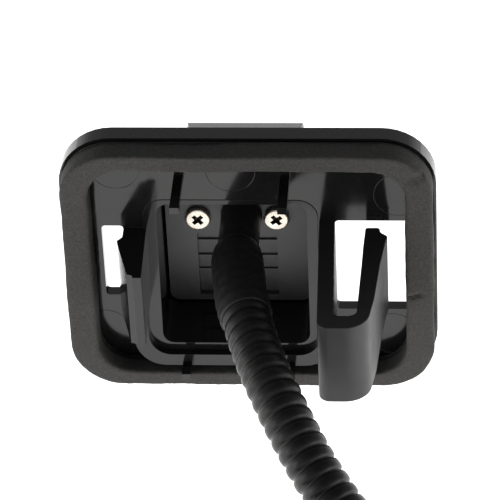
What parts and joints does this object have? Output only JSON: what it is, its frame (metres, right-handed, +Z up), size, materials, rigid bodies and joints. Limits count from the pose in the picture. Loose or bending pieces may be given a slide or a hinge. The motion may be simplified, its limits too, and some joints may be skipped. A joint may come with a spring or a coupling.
{
  "type": "backup camera",
  "caption": "Snap-in rear-view camera in a rectangular bezel with foam gasket, rigid hook, spring clip, corrugated pigtail and plug.",
  "frame": {"origin": "middle of the body's footprint, at the height of the bezel's lower edge", "axes": "+Z up along the bezel's short side, +X along the bezel's long side, +Y out of the lens side (away from the vehicle)"},
  "size_m": [0.1557, 0.216, 0.0582],
  "materials": {
    "gloss_black": "glossy moulded black ABS",
    "cover_black": "satin moulded plastic with a soft sheen",
    "satin_black": "satin black moulded plastic",
    "foam": "matte closed-cell foam with a cut, slightly ragged edge",
    "tape": "black double-sided tape",
    "adhesive": "natural nylon",
    "seal_rubber": "matte rubber",
    "cable_rubber": "smooth satin black jacket",
    "conduit": "ribbed black tube with a soft sheen",
    "nickel": "bright nickel plating",
    "dark_metal": "black anodised metal",
    "lens_glass": "coated optical glass",
    "sensor": "glass-topped sensor package",
    "board": "green solder mask",
    "terminal": "tin-gold plated contact"
  },
  "bodies": {
    "root": {"bezel": "gloss_black", "clip_fixed_leg": "gloss_black", "gasket_adhesive": "tape", "foam_gasket": "foam", "camera_body": "satin_black", "lens_barrel": "satin_black", "front_lens": "lens_glass", "lens_retainer": "dark_metal", "lens_seal_ring": "seal_rubber", "lens_spacer": "satin_black", "rear_lens": "lens_glass", "ir_filter": "lens_glass", "image_sensor": "sensor", "sensor_board": "board", "board_spacer": "satin_black", "video_board": "board", "cable_header": "adhesive", "cover_seal": "seal_rubber", "rear_cover": "cover_black", "cover_screw_left": "nickel", "cover_screw_right": "nickel", "cable_boot": "cable_rubber", "conduit_sleeve": "cable_rubber", "pigtail_conduit": "conduit", "pigtail_coil": "conduit", "coil_tie": "satin_black", "pigtail_tail": "conduit", "plug_boot": "cable_rubber", "plug_housing": "satin_black", "plug_lock": "adhesive", "plug_terminal_1": "terminal", "plug_terminal_2": "terminal", "plug_terminal_3": "terminal", "plug_terminal_4": "terminal"},
    "spring_leg": {"clip_spring_leg": "gloss_black"},
    "latch_arm": {"plug_latch": "satin_black"}
  },
  "joints": [
    {"name": "clip_flex", "type": "hinge", "parent": "root", "child": "spring_leg", "pos_m": [0.0243, -0.02725, 0.029], "axis": [0, 0, 1], "range_deg": [0, 7.5], "stiffness_Nm_per_rad": 0.5},
    {"name": "latch_press", "type": "hinge", "parent": "root", "child": "latch_arm", "pos_m": [-0.0731, -0.17435, 0.0131], "axis": [0, -1, 0], "range_deg": [0, 5], "stiffness_Nm_per_rad": 0.2}
  ]
}
